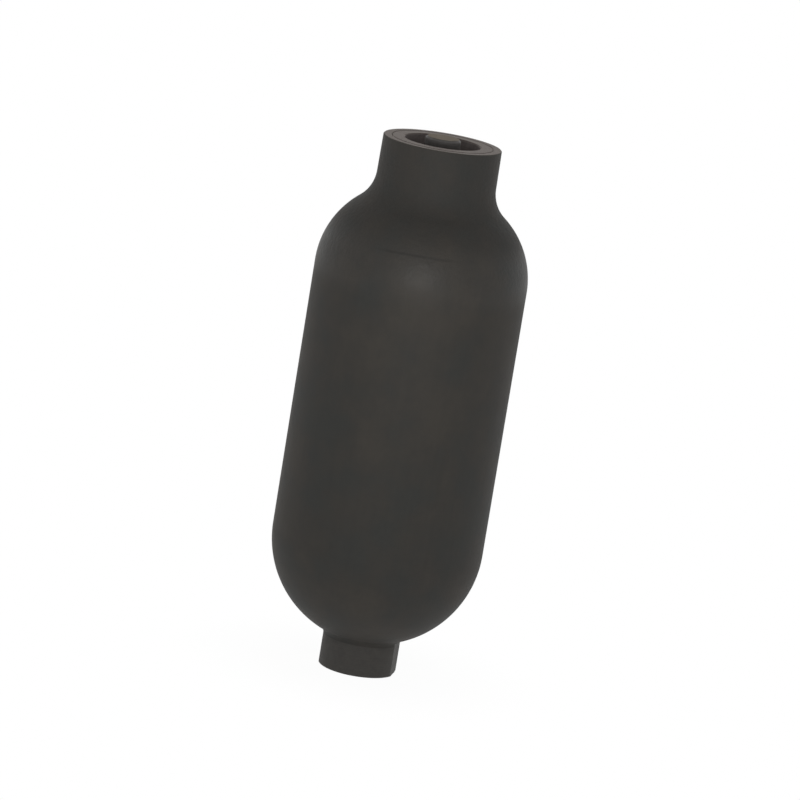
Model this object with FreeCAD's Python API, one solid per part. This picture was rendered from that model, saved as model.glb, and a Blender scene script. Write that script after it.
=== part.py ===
import FreeCAD, Part
import math
import os

# Hydraulic bladder accumulator, about 5 litres, with its large gas neck up.
# Millimetres. The origin is the centre of the port neck's bottom face, and +Z runs up the shell's axis.

# Shell, forged and spun from 168.3 mm tube
shell_radius = 84.15
shell_wall = 9.0
body_length = 214.8
port_face_to_tangent = 106.6
floor_knuckle = 40.0
floor_pole_above_guide = 9.0
shoulder_radius = 70.0
neck_blend_radius = 30.0
gas_neck_draft = 0.7
gas_neck_wall = 6.8
gas_neck_chamfer = 0.6

# Port neck
port_neck_radius = 31.4
port_neck_fillet = 6.0
port_neck_chamfer = 0.8
flat_depth = 2.0
flat_height = 28.0
port_thread_minor_radius = 19.475
port_thread_length = 20.0
port_mouth_chamfer = 1.5
thread_relief_depth = 1.8
thread_relief_height = 4.0
guide_pass_clearance = 0.875
groove_lip = 1.0
snap_ring_thickness = 1.6
snap_ring_width = 3.1
snap_ring_bite = 1.1
snap_ring_gap_angle = 34.0
snap_ring_ear_radius = 2.6
snap_ring_eye_radius = 1.0
guide_shoulder_width = 2.1
seat_width = 6.5

# Poppet valve in the port
guide_height = 9.4
guide_fit = 0.05
guide_rim_wall = 3.0
guide_web_count = 4
guide_web_thickness = 3.2
hub_flange_height = 5.4
hub_nose_height = 5.0
hub_nose_wall = 1.6
bush_wall = 1.25
poppet_stem_radius = 4.0
poppet_stem_clearance = 0.05
poppet_lift = 8.0
poppet_rim_height = 1.5
poppet_crown_height = 3.6
poppet_seat_start = 0.5
poppet_boss_height = 2.0
seat_overhang = 1.5
stem_tip_length = 1.3
stop_nut_height = 4.0
stop_nut_across = 13.0
spring_wire = 1.5
spring_side_clearance = 0.6
spring_turns = 5.0

# Closure in the gas neck
mouth_length = 7.92
closure_radius = 38.5
closure_fit = 0.1
closure_height = 22.0
closure_ledge_width = 4.5
closure_recess_depth = 6.0
closure_rim_width = 11.5
spigot_clearance = 0.5
spigot_height = 6.0
seal_groove_depth = 4.0
seal_groove_height = 7.0
seal_groove_above_ledge = 7.0
backup_ring_height = 1.3
lock_ring_height = 20.0
lock_ring_wall = 10.0
lock_ring_chamfer = 0.8
neck_thread_depth = 1.4
thread_fit = 0.05

# Bladder and its moulded-in stem
bladder_wall = 3.0
bladder_gap = 7.15
bladder_foot_clearance = 4.0
bladder_head_clearance = 4.0
bladder_neck_wall = 4.0
bladder_neck_fillet = 4.0
head_pad_thickness = 3.5
head_lip_thickness = 3.0
head_rim_width = 6.0
head_eye_radius = 14.0
stem_flange_thickness = 3.0
stem_radius = 12.0
stem_fit = 0.05
stem_gas_passage_radius = 3.0
stem_seal_depth = 3.1
stem_seal_height = 4.0
stem_seal_above_spigot = 8.0
stem_washer_thickness = 2.5
stem_washer_width = 8.5
stem_nut_height = 8.0
stem_nut_across = 36.0
cap_thread_step = 1.0
cap_thread_height = 6.5

# Gas valve
valve_thread_radius = 7.0
valve_shank_length = 12.5
valve_shank_space = 0.5
valve_seal_width = 1.2
valve_seal_height = 2.0
valve_hex_across = 16.0
valve_hex_height = 3.6
nipple_radius = 3.95
nipple_height = 4.6
core_bore_radius = 2.5
core_bore_floor = 1.5
valve_passage_radius = 1.0
core_length = 11.5
core_below_nipple = 0.7
core_passage_radius = 1.15
core_tongue_height = 2.5
core_tongue_width = 2.8
pin_radius = 0.75
pin_below_nipple = 0.3
pin_collar_radius = 1.9
pin_collar_height = 1.2
pin_seal_height = 1.2
pin_seal_gap = 0.3
core_spring_wire = 0.35
core_spring_turns = 5.0
pin_foot_length = 0.6

# Caps over the gas valve
seal_cap_wall = 1.6
seal_cap_gasket_thickness = 0.7
seal_cap_gasket_eye = 1.5
seal_cap_top_thickness = 1.1
seal_cap_lift_off = 0.4
cap_wall = 2.7
cap_top_thickness = 2.1
cap_chamfer = 1.0
cap_inner_clearance = 0.3
cap_seal_depth = 1.6
cap_seal_height = 2.0
cap_seal_above_nut = 1.0

# Clearance between pieces that move apart
seat_clearance = 0.3
seal_edge_round = 0.35

# Heights up the port neck
guide_bore_radius = port_thread_minor_radius - guide_pass_clearance
relief_top_z = port_thread_length + thread_relief_height
guide_bottom_z = relief_top_z + groove_lip + snap_ring_thickness
guide_shoulder_z = guide_bottom_z + guide_height
flow_bore_radius = guide_bore_radius - guide_shoulder_width

# Inside floor of the shell: a crown arc that runs tangent into a knuckle arc and then into the wall
inner_radius = shell_radius - shell_wall
lower_tangent_z = port_face_to_tangent
upper_tangent_z = lower_tangent_z + body_length
floor_pole_z = guide_shoulder_z + floor_pole_above_guide
floor_depth = lower_tangent_z - floor_pole_z
knuckle_centre_r = inner_radius - floor_knuckle
floor_crown = (floor_depth ** 2 + knuckle_centre_r ** 2 - floor_knuckle ** 2) / (2 * (floor_depth - floor_knuckle))
crown_centre_z = floor_pole_z + floor_crown

# Conical poppet seat at 45 degrees
seat_rim_radius = flow_bore_radius + seat_width
seat_rim_z = crown_centre_z - math.sqrt(floor_crown ** 2 - seat_rim_radius ** 2)
seat_bottom_z = seat_rim_z - seat_width

# Poppet, shown open
poppet_head_radius = seat_rim_radius - seat_overhang
poppet_face_z = seat_bottom_z + poppet_seat_start + poppet_lift
poppet_face_radius = flow_bore_radius + poppet_seat_start - seat_clearance * math.sqrt(2)
poppet_rim_z = poppet_face_z + poppet_head_radius - poppet_face_radius
poppet_top_z = poppet_rim_z + poppet_rim_height + poppet_crown_height
hub_flange_z = guide_bottom_z + hub_flange_height
hub_nose_z = hub_flange_z + hub_nose_height
bush_bore_radius = poppet_stem_radius + poppet_stem_clearance
bush_radius = bush_bore_radius + bush_wall
hub_nose_radius = bush_radius + hub_nose_wall
spring_mean_radius = hub_nose_radius + spring_side_clearance + spring_wire / 2
hub_flange_radius = spring_mean_radius + spring_wire / 2 + spring_side_clearance
stop_nut_top_z = guide_bottom_z - seat_clearance
stop_nut_bottom_z = stop_nut_top_z - stop_nut_height

# Heights in the gas neck
shoulder_centre_r = shell_radius - shoulder_radius
mouth_radius = closure_radius - closure_ledge_width
inner_shoulder = shoulder_radius - shell_wall
mouth_bottom_z = upper_tangent_z + math.sqrt(inner_shoulder ** 2 - (mouth_radius - shoulder_centre_r) ** 2)
ledge_z = mouth_bottom_z + mouth_length
closure_bore_radius = closure_radius + closure_fit
closure_top_z = ledge_z + closure_height
gas_face_z = closure_top_z + lock_ring_height
lock_ring_radius = closure_bore_radius + neck_thread_depth
lock_ring_bore_radius = lock_ring_radius - lock_ring_wall
gas_neck_radius = lock_ring_radius + gas_neck_wall
closure_floor_z = closure_top_z - closure_recess_depth
spigot_bottom_z = ledge_z - spigot_height
stem_nut_z = closure_floor_z + stem_washer_thickness
stem_nut_top_z = stem_nut_z + stem_nut_height
stem_top_z = stem_nut_top_z + cap_thread_height
cap_thread_radius = stem_radius - cap_thread_step

# Heights in the gas valve
valve_bottom_z = stem_top_z - valve_shank_length
valve_hex_top_z = stem_top_z + valve_hex_height
nipple_top_z = valve_hex_top_z + nipple_height
core_floor_z = valve_bottom_z + core_bore_floor
core_top_z = nipple_top_z - core_below_nipple
core_bottom_z = core_top_z - core_length
pin_seal_top_z = core_bottom_z - pin_seal_gap
pin_collar_top_z = pin_seal_top_z - pin_seal_height
pin_collar_bottom_z = pin_collar_top_z - pin_collar_height
gasket_top_z = nipple_top_z + seal_cap_gasket_thickness
seal_cap_top_z = gasket_top_z + seal_cap_top_thickness
cap_inner_top_z = seal_cap_top_z + seal_cap_lift_off
cap_top_z = cap_inner_top_z + cap_top_thickness
cap_inner_radius = cap_thread_radius + cap_inner_clearance
cap_radius = cap_inner_radius + cap_wall
cap_bottom_z = stem_nut_top_z + seat_clearance

# Heights in the bladder
bladder_radius = inner_radius - bladder_gap
bladder_bottom_z = poppet_top_z + bladder_foot_clearance
bladder_foot_centre_z = bladder_bottom_z + bladder_radius
bladder_shoulder = inner_shoulder - bladder_gap
head_radius = mouth_radius - bladder_head_clearance
stem_flange_top_z = spigot_bottom_z - head_pad_thickness
stem_flange_bottom_z = stem_flange_top_z - stem_flange_thickness
head_lip_z = stem_flange_bottom_z - head_lip_thickness
stem_flange_radius = head_radius - head_rim_width

axis_origin = FreeCAD.Vector(0, 0, 0)
axis_up = FreeCAD.Vector(0, 0, 1)


def at(r, z):
    """A point of a half-section: r out along X, z up."""
    return FreeCAD.Vector(r, 0, z)


def turned(edges):
    """Revolves a closed half-section about Z."""
    face = Part.Face(Part.Wire(edges))
    return face.revolve(axis_origin, axis_up, 360)


def turned_outline(points):
    """Revolves a closed outline of straight lines."""
    corners = [at(r, z) for r, z in points]
    edges = [Part.LineSegment(a, b).toShape() for a, b in zip(corners, corners[1:] + corners[:1])]
    return turned(edges)


def line(start, end):
    return Part.LineSegment(at(*start), at(*end)).toShape()


def arc(start, centre, end):
    """The shorter arc about centre from start to end."""
    a = (start[0] - centre[0], start[1] - centre[1])
    b = (end[0] - centre[0], end[1] - centre[1])
    radius = math.hypot(*a)
    middle = (a[0] + b[0], a[1] + b[1])
    stretch = radius / math.hypot(*middle)
    through = (centre[0] + middle[0] * stretch, centre[1] + middle[1] * stretch)
    return Part.Arc(at(*start), at(*through), at(*end)).toShape()


def toward(start, end, distance):
    """The point at a distance from start towards end."""
    span = math.dist(start, end)
    return (start[0] + (end[0] - start[0]) * distance / span, start[1] + (end[1] - start[1]) * distance / span)


def tube(outer, inner, bottom, top):
    return turned_outline([(inner, bottom), (outer, bottom), (outer, top), (inner, top)])


def disc(radius, bottom, top):
    return Part.makeCylinder(radius, top - bottom, at(0, bottom))


def hexagon(across, bottom, top):
    """Hexagonal bar with the corners of both ends turned to a cone."""
    corner = across / math.sqrt(3)
    points = [
        FreeCAD.Vector(corner * math.cos(math.radians(60 * i)), corner * math.sin(math.radians(60 * i)), bottom)
        for i in range(7)
    ]
    bar = Part.Face(Part.makePolygon(points)).extrude(axis_up * (top - bottom))
    cut_back = corner - across / 2
    rise = cut_back * math.tan(math.radians(30))
    cone = turned_outline([
        (0, bottom), (across / 2, bottom), (corner, bottom + rise), (corner, top - rise), (across / 2, top), (0, top),
    ])
    return bar.common(cone)


def rounded_ring(outer, inner, bottom, top, corner):
    """Ring of rounded rectangular section, as a rubber ring squeezed in its groove."""
    ring = tube(outer, inner, bottom, top)
    return ring.makeFillet(corner, [e for e in ring.Edges if e.Curve.TypeId == "Part::GeomCircle"])


def coil(mean_radius, wire, bottom, top, turns):
    """Compression spring with its ends ground flat."""
    rise = (top - bottom) / turns
    helix = Part.makeHelix(rise, top - bottom, mean_radius)
    helix.translate(at(0, bottom))
    section = Part.Wire(Part.makeCircle(wire / 2, at(mean_radius, bottom), FreeCAD.Vector(0, 1, 0)))
    spring = Part.Wire(helix.Edges).makePipeShell([section], True, True)
    reach = mean_radius + wire
    return spring.common(disc(reach, bottom, top))


def shell_outside():
    """Forged outline: port neck, hemispherical bottom, straight body, spun shoulder and drafted gas neck."""
    dome_centre = (0, lower_tangent_z)
    fillet_r = port_neck_radius + port_neck_fillet
    fillet_drop = math.sqrt((shell_radius + port_neck_fillet) ** 2 - fillet_r ** 2)
    fillet_centre = (fillet_r, lower_tangent_z - fillet_drop)
    fillet_start = (port_neck_radius, fillet_centre[1])
    fillet_end = toward(dome_centre, fillet_centre, shell_radius)

    # The blend circle touches the drafted neck line and the shoulder arc
    shoulder_centre = (shoulder_centre_r, upper_tangent_z)
    draft = math.radians(gas_neck_draft)
    neck_top = (gas_neck_radius, gas_face_z - gas_neck_chamfer)
    offset = (neck_top[0] + neck_blend_radius * math.cos(draft) - shoulder_centre[0],
              neck_top[1] + neck_blend_radius * math.sin(draft) - shoulder_centre[1])
    half_b = offset[0] * math.sin(draft) - offset[1] * math.cos(draft)
    reach = shoulder_radius + neck_blend_radius
    down = -half_b - math.sqrt(half_b ** 2 - offset[0] ** 2 - offset[1] ** 2 + reach ** 2)
    blend_centre = (shoulder_centre[0] + offset[0] + down * math.sin(draft),
                    shoulder_centre[1] + offset[1] - down * math.cos(draft))
    blend_top = (blend_centre[0] - neck_blend_radius * math.cos(draft),
                 blend_centre[1] - neck_blend_radius * math.sin(draft))
    blend_bottom = toward(shoulder_centre, blend_centre, shoulder_radius)

    chamfer_foot = (port_neck_radius - port_neck_chamfer, 0)
    chamfer_end = (port_neck_radius, port_neck_chamfer)
    gas_edge = (gas_neck_radius - gas_neck_chamfer, gas_face_z)
    return turned([
        line((0, 0), chamfer_foot),
        line(chamfer_foot, chamfer_end),
        line(chamfer_end, fillet_start),
        arc(fillet_start, fillet_centre, fillet_end),
        arc(fillet_end, dome_centre, (shell_radius, lower_tangent_z)),
        line((shell_radius, lower_tangent_z), (shell_radius, upper_tangent_z)),
        arc((shell_radius, upper_tangent_z), shoulder_centre, blend_bottom),
        arc(blend_bottom, blend_centre, blend_top),
        line(blend_top, neck_top),
        line(neck_top, gas_edge),
        line(gas_edge, (0, gas_face_z)),
        line((0, gas_face_z), (0, 0)),
    ])


def shell_inside():
    """Everything bored and hollowed out of the forging, as one turned shape."""
    knuckle_centre = (knuckle_centre_r, lower_tangent_z)
    crown_centre = (0, crown_centre_z)
    crown_end = toward(crown_centre, knuckle_centre, floor_crown)
    seat_rim = (seat_rim_radius, seat_rim_z)
    shoulder_centre = (shoulder_centre_r, upper_tangent_z)
    mouth_foot = (mouth_radius, mouth_bottom_z)
    relief_radius = port_thread_minor_radius + thread_relief_depth
    groove_radius = guide_bore_radius + snap_ring_bite
    outline = [
        (0, 0),
        (port_thread_minor_radius + port_mouth_chamfer, 0),
        (port_thread_minor_radius, port_mouth_chamfer),
        (port_thread_minor_radius, port_thread_length),
        (relief_radius, port_thread_length),
        (relief_radius, relief_top_z),
        (guide_bore_radius, relief_top_z),
        (guide_bore_radius, relief_top_z + groove_lip),
        (groove_radius, relief_top_z + groove_lip),
        (groove_radius, guide_bottom_z),
        (guide_bore_radius, guide_bottom_z),
        (guide_bore_radius, guide_shoulder_z),
        (flow_bore_radius, guide_shoulder_z),
        (flow_bore_radius, seat_bottom_z),
        seat_rim,
    ]
    edges = [line(a, b) for a, b in zip(outline, outline[1:])]
    edges += [
        arc(seat_rim, crown_centre, crown_end),
        arc(crown_end, knuckle_centre, (inner_radius, lower_tangent_z)),
        line((inner_radius, lower_tangent_z), (inner_radius, upper_tangent_z)),
        arc((inner_radius, upper_tangent_z), shoulder_centre, mouth_foot),
    ]
    neck = [
        mouth_foot,
        (mouth_radius, ledge_z),
        (closure_bore_radius, ledge_z),
        (closure_bore_radius, closure_top_z),
        (lock_ring_radius, closure_top_z),
        (lock_ring_radius, gas_face_z - lock_ring_chamfer),
        (lock_ring_radius + lock_ring_chamfer, gas_face_z),
        (0, gas_face_z),
        (0, 0),
    ]
    edges += [line(a, b) for a, b in zip(neck, neck[1:])]
    return turned(edges)


def shell():
    """One-piece shell with two wrench flats on the port neck."""
    body = shell_outside().cut(shell_inside())
    flat_x = port_neck_radius - flat_depth
    width = 2 * port_neck_radius
    for side in (1, -1):
        corner = FreeCAD.Vector(flat_x if side > 0 else -flat_x - width, -width / 2, 0)
        body = body.cut(Part.makeBox(width, width, flat_height, corner))
    return body


def lock_ring():
    """Threaded ring that holds the closure, flush with the gas neck's face."""
    outer = lock_ring_radius - thread_fit
    return turned_outline([
        (lock_ring_bore_radius, closure_top_z),
        (outer - lock_ring_chamfer, closure_top_z),
        (outer, closure_top_z + lock_ring_chamfer),
        (outer, gas_face_z - lock_ring_chamfer),
        (outer - lock_ring_chamfer, gas_face_z),
        (lock_ring_bore_radius + lock_ring_chamfer, gas_face_z),
        (lock_ring_bore_radius, gas_face_z - lock_ring_chamfer),
    ])


def closure_plug():
    """Closure with a spigot in the shell's mouth, a seal groove round it and a recess for the stem nut."""
    stem_hole = stem_radius + stem_fit
    recess_radius = closure_radius - closure_rim_width
    groove_floor = closure_radius - seal_groove_depth
    groove_z = ledge_z + seal_groove_above_ledge
    stem_groove_z = spigot_bottom_z + stem_seal_above_spigot
    spigot_radius = mouth_radius - spigot_clearance
    return turned_outline([
        (stem_hole, spigot_bottom_z),
        (spigot_radius, spigot_bottom_z),
        (spigot_radius, ledge_z),
        (closure_radius, ledge_z),
        (closure_radius, groove_z),
        (groove_floor, groove_z),
        (groove_floor, groove_z + seal_groove_height),
        (closure_radius, groove_z + seal_groove_height),
        (closure_radius, closure_top_z),
        (recess_radius, closure_top_z),
        (recess_radius, closure_floor_z),
        (stem_hole, closure_floor_z),
        (stem_hole, stem_groove_z + stem_seal_height),
        (stem_hole + stem_seal_depth, stem_groove_z + stem_seal_height),
        (stem_hole + stem_seal_depth, stem_groove_z),
        (stem_hole, stem_groove_z),
    ])


def closure_seal():
    bottom = ledge_z + seal_groove_above_ledge
    top = bottom + seal_groove_height - backup_ring_height
    return rounded_ring(closure_bore_radius, closure_radius - seal_groove_depth, bottom, top, 4 * seal_edge_round)


def closure_backup_ring():
    """Hard plastic ring on the low-pressure side of the seal."""
    top = ledge_z + seal_groove_above_ledge + seal_groove_height
    return tube(closure_bore_radius, closure_radius - seal_groove_depth, top - backup_ring_height, top)


def stem_seal():
    bottom = spigot_bottom_z + stem_seal_above_spigot
    stem_hole = stem_radius + stem_fit
    return rounded_ring(stem_hole + stem_seal_depth, stem_radius, bottom, bottom + stem_seal_height,
                        3 * seal_edge_round)


def stem_washer():
    return tube(stem_radius + stem_washer_width, stem_radius + stem_fit, closure_floor_z, stem_nut_z)


def stem_nut():
    bore = disc(stem_radius + stem_fit, stem_nut_z, stem_nut_top_z)
    return hexagon(stem_nut_across, stem_nut_z, stem_nut_top_z).cut(bore)


def bladder_stem():
    """Steel stem moulded into the bladder's head, with a gas passage and the gas valve's threaded socket."""
    seal_z = stem_nut_top_z + cap_seal_above_nut
    seal_floor = cap_thread_radius - cap_seal_depth
    socket_z = valve_bottom_z - valve_shank_space
    valve_seal_z = stem_top_z - valve_seal_height
    valve_seal_radius = valve_thread_radius + valve_seal_width
    return turned_outline([
        (stem_gas_passage_radius, stem_flange_bottom_z),
        (stem_flange_radius, stem_flange_bottom_z),
        (stem_flange_radius, stem_flange_top_z),
        (stem_radius, stem_flange_top_z),
        (stem_radius, stem_nut_top_z),
        (cap_thread_radius, stem_nut_top_z),
        (cap_thread_radius, seal_z),
        (seal_floor, seal_z),
        (seal_floor, seal_z + cap_seal_height),
        (cap_thread_radius, seal_z + cap_seal_height),
        (cap_thread_radius, stem_top_z),
        (valve_seal_radius, stem_top_z),
        (valve_seal_radius, valve_seal_z),
        (valve_thread_radius, valve_seal_z),
        (valve_thread_radius, socket_z),
        (stem_gas_passage_radius, socket_z),
    ])


def bladder():
    """Rubber bag with a thick head moulded round the stem's flange."""
    centre = (shoulder_centre_r, upper_tangent_z)
    foot_centre = (0, bladder_foot_centre_z)
    stem_hole = stem_radius
    fillet_r = head_radius + bladder_neck_fillet
    fillet_reach = bladder_shoulder + bladder_neck_fillet
    fillet_centre = (fillet_r, centre[1] + math.sqrt(fillet_reach ** 2 - (fillet_r - centre[0]) ** 2))
    fillet_top = (head_radius, fillet_centre[1])
    fillet_bottom = toward(centre, fillet_centre, bladder_shoulder)
    bag_inner = bladder_radius - bladder_wall
    shoulder_inner = bladder_shoulder - bladder_wall
    neck_inner = head_radius - bladder_neck_wall
    neck_inner_z = centre[1] + math.sqrt(shoulder_inner ** 2 - (neck_inner - centre[0]) ** 2)
    head = [
        (neck_inner, head_lip_z),
        (head_eye_radius, head_lip_z),
        (head_eye_radius, stem_flange_bottom_z),
        (stem_flange_radius, stem_flange_bottom_z),
        (stem_flange_radius, stem_flange_top_z),
        (stem_hole, stem_flange_top_z),
        (stem_hole, spigot_bottom_z),
        (head_radius, spigot_bottom_z),
        fillet_top,
    ]
    edges = [line(a, b) for a, b in zip(head, head[1:])]
    edges += [
        arc(fillet_top, fillet_centre, fillet_bottom),
        arc(fillet_bottom, centre, (bladder_radius, centre[1])),
        line((bladder_radius, centre[1]), (bladder_radius, foot_centre[1])),
        arc((bladder_radius, foot_centre[1]), foot_centre, (0, bladder_bottom_z)),
        line((0, bladder_bottom_z), (0, bladder_bottom_z + bladder_wall)),
        arc((0, bladder_bottom_z + bladder_wall), foot_centre, (bag_inner, foot_centre[1])),
        line((bag_inner, foot_centre[1]), (bag_inner, centre[1])),
        arc((bag_inner, centre[1]), centre, (neck_inner, neck_inner_z)),
        line((neck_inner, neck_inner_z), (neck_inner, head_lip_z)),
    ]
    return turned(edges)


def gas_valve_body():
    """Valve body with a threaded shank, a hexagon and the nipple for the charging hose."""
    shank_radius = valve_thread_radius - thread_fit
    seal_z = stem_top_z - valve_seal_height
    turned_part = turned_outline([
        (0, valve_bottom_z),
        (shank_radius, valve_bottom_z),
        (shank_radius, seal_z),
        (shank_radius - valve_seal_width, seal_z),
        (shank_radius - valve_seal_width, stem_top_z),
        (nipple_radius, stem_top_z),
        (nipple_radius, nipple_top_z),
        (0, nipple_top_z),
    ])
    body = turned_part.fuse(hexagon(valve_hex_across, stem_top_z, valve_hex_top_z))
    body = body.cut(disc(valve_passage_radius, valve_bottom_z, core_floor_z))
    return body.cut(disc(core_bore_radius, core_floor_z, nipple_top_z))


def valve_seal():
    inner = valve_thread_radius - thread_fit - valve_seal_width
    outer = valve_thread_radius + valve_seal_width
    return rounded_ring(outer, inner, stem_top_z - valve_seal_height, stem_top_z, 2 * seal_edge_round)


def valve_core():
    """Hollow core screwed into the nipple, with two flats on its head for the core key."""
    core = tube(core_bore_radius - thread_fit, core_passage_radius, core_bottom_z, core_top_z)
    flats_z = core_top_z - core_tongue_height
    for side in (1, -1):
        start = core_tongue_width / 2 if side > 0 else -core_tongue_width / 2 - core_bore_radius
        corner = FreeCAD.Vector(start, -core_bore_radius, flats_z)
        core = core.cut(Part.makeBox(core_bore_radius, 2 * core_bore_radius, core_tongue_height, corner))
    return core


def core_pin():
    """Pin that the charging hose pushes down to open the gas valve."""
    foot_z = pin_collar_bottom_z - pin_foot_length
    return turned_outline([
        (0, foot_z),
        (pin_radius, foot_z),
        (pin_radius, pin_collar_bottom_z),
        (pin_collar_radius, pin_collar_bottom_z),
        (pin_collar_radius, pin_collar_top_z),
        (pin_radius, pin_collar_top_z),
        (pin_radius, nipple_top_z - pin_below_nipple),
        (0, nipple_top_z - pin_below_nipple),
    ])


def core_pin_seal():
    return tube(pin_collar_radius, pin_radius, pin_collar_top_z, pin_seal_top_z)


def core_spring():
    mean_radius = pin_collar_radius - core_spring_wire / 2
    return coil(mean_radius, core_spring_wire, core_floor_z, pin_collar_bottom_z, core_spring_turns)


def valve_seal_cap():
    """Small cap screwed on the nipple."""
    inner = nipple_radius + thread_fit
    outer = inner + seal_cap_wall
    bottom = valve_hex_top_z + seal_cap_lift_off
    cap = disc(outer, bottom, seal_cap_top_z)
    return cap.cut(disc(inner, bottom, gasket_top_z))


def seal_cap_gasket():
    return tube(nipple_radius, seal_cap_gasket_eye, nipple_top_z, gasket_top_z)


def protective_cap():
    """Turned cap over the whole gas valve. It screws on the stem and stands a little above the neck's face."""
    return turned_outline([
        (cap_inner_radius, cap_bottom_z),
        (cap_radius, cap_bottom_z),
        (cap_radius, cap_top_z - cap_chamfer),
        (cap_radius - cap_chamfer, cap_top_z),
        (0, cap_top_z),
        (0, cap_inner_top_z),
        (cap_inner_radius, cap_inner_top_z),
    ])


def protective_cap_seal():
    bottom = stem_nut_top_z + cap_seal_above_nut
    inner = cap_thread_radius - cap_seal_depth
    outer = cap_inner_radius - seat_clearance / 2
    return rounded_ring(outer, inner, bottom, bottom + cap_seal_height, 2 * seal_edge_round)


def poppet():
    """Mushroom valve that stops the bladder from being pushed out through the port."""
    tip_z = stop_nut_bottom_z - stem_tip_length
    tip_chamfer = stem_tip_length / 2
    boss_radius = spring_mean_radius - spring_wire / 2 - spring_side_clearance
    edge_top = (poppet_head_radius, poppet_rim_z + poppet_rim_height)
    crown = (poppet_head_radius ** 2 + poppet_crown_height ** 2) / (2 * poppet_crown_height)
    outline = [
        (0, poppet_top_z),
        (0, tip_z),
        (poppet_stem_radius - tip_chamfer, tip_z),
        (poppet_stem_radius, tip_z + tip_chamfer),
        (poppet_stem_radius, poppet_face_z - poppet_boss_height),
        (boss_radius, poppet_face_z - poppet_boss_height),
        (boss_radius, poppet_face_z),
        (poppet_face_radius, poppet_face_z),
        (poppet_head_radius, poppet_rim_z),
        edge_top,
    ]
    edges = [line(a, b) for a, b in zip(outline, outline[1:])]
    edges.append(arc(edge_top, (0, poppet_top_z - crown), (0, poppet_top_z)))
    return turned(edges)


def stop_nut():
    nut = hexagon(stop_nut_across, stop_nut_bottom_z, stop_nut_top_z)
    return nut.cut(disc(poppet_stem_radius, stop_nut_bottom_z, stop_nut_top_z))


def poppet_spring():
    return coil(spring_mean_radius, spring_wire, hub_flange_z, poppet_face_z, spring_turns)


def poppet_guide():
    """Spider that carries the poppet's stem: rim, hub and webs with the oil's passages between them."""
    rim_radius = guide_bore_radius - guide_fit
    rim_inner = rim_radius - guide_rim_wall
    guide = tube(rim_radius, rim_inner, guide_bottom_z, guide_shoulder_z)
    hub = disc(hub_flange_radius, guide_bottom_z, hub_flange_z)
    nose = disc(hub_nose_radius, guide_bottom_z, hub_nose_z)
    guide = guide.fuse([hub, nose])
    web_start = hub_flange_radius / 2
    web_length = rim_inner + guide_rim_wall / 2 - web_start
    for i in range(guide_web_count):
        corner = FreeCAD.Vector(web_start, -guide_web_thickness / 2, guide_bottom_z)
        web = Part.makeBox(web_length, guide_web_thickness, hub_flange_height, corner)
        web.rotate(axis_origin, axis_up, 45 + i * 360 / guide_web_count)
        guide = guide.fuse(web)
    return guide.removeSplitter().cut(disc(bush_radius, guide_bottom_z, hub_nose_z))


def guide_bush():
    return tube(bush_radius, bush_bore_radius, guide_bottom_z, hub_nose_z)


def guide_snap_ring():
    """Internal circlip with a gap and two eared ends for the pliers."""
    outer = guide_bore_radius + snap_ring_bite
    inner = outer - snap_ring_width
    bottom = relief_top_z + groove_lip
    ring = tube(outer, inner, bottom, guide_bottom_z)
    reach = outer + snap_ring_width
    half_gap = math.radians(snap_ring_gap_angle / 2)
    gap = Part.Face(Part.makePolygon([
        at(0, bottom),
        FreeCAD.Vector(reach * math.cos(half_gap), reach * math.sin(half_gap), bottom),
        FreeCAD.Vector(reach * math.cos(half_gap), -reach * math.sin(half_gap), bottom),
        at(0, bottom),
    ])).extrude(axis_up * snap_ring_thickness)
    ring = ring.cut(gap)
    ear_distance = inner
    ear_angle = half_gap + snap_ring_ear_radius / ear_distance
    for side in (1, -1):
        x = ear_distance * math.cos(ear_angle)
        y = side * ear_distance * math.sin(ear_angle)
        place = FreeCAD.Vector(x, y, bottom)
        ear = Part.makeCylinder(snap_ring_ear_radius, snap_ring_thickness, place)
        eye = Part.makeCylinder(snap_ring_eye_radius, snap_ring_thickness, place)
        ring = ring.fuse(ear).cut(eye)
    return ring.removeSplitter()


pieces = {
    "shell": shell,
    "lock_ring": lock_ring,
    "closure_plug": closure_plug,
    "closure_seal": closure_seal,
    "closure_backup_ring": closure_backup_ring,
    "bladder": bladder,
    "bladder_stem": bladder_stem,
    "stem_seal": stem_seal,
    "stem_washer": stem_washer,
    "stem_nut": stem_nut,
    "gas_valve_body": gas_valve_body,
    "valve_seal": valve_seal,
    "valve_core": valve_core,
    "core_pin": core_pin,
    "core_pin_seal": core_pin_seal,
    "core_spring": core_spring,
    "valve_seal_cap": valve_seal_cap,
    "seal_cap_gasket": seal_cap_gasket,
    "protective_cap": protective_cap,
    "protective_cap_seal": protective_cap_seal,
    "poppet": poppet,
    "stop_nut": stop_nut,
    "poppet_spring": poppet_spring,
    "poppet_guide": poppet_guide,
    "guide_bush": guide_bush,
    "guide_snap_ring": guide_snap_ring,
}

os.makedirs("parts", exist_ok=True)
for name, make in pieces.items():
    shape = make()
    shape.exportStep(f"parts/{name}.step")
    print(f"{name}: {len(shape.Solids)} solid, {shape.Volume / 1000:.3f} cm3, valid {shape.isValid()}")
print(f"height {gas_face_z:.2f} mm to the neck face, {cap_top_z:.2f} mm to the cap")
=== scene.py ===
import math
import bpy
import numpy as np
from mathutils import Matrix, Vector


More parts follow.
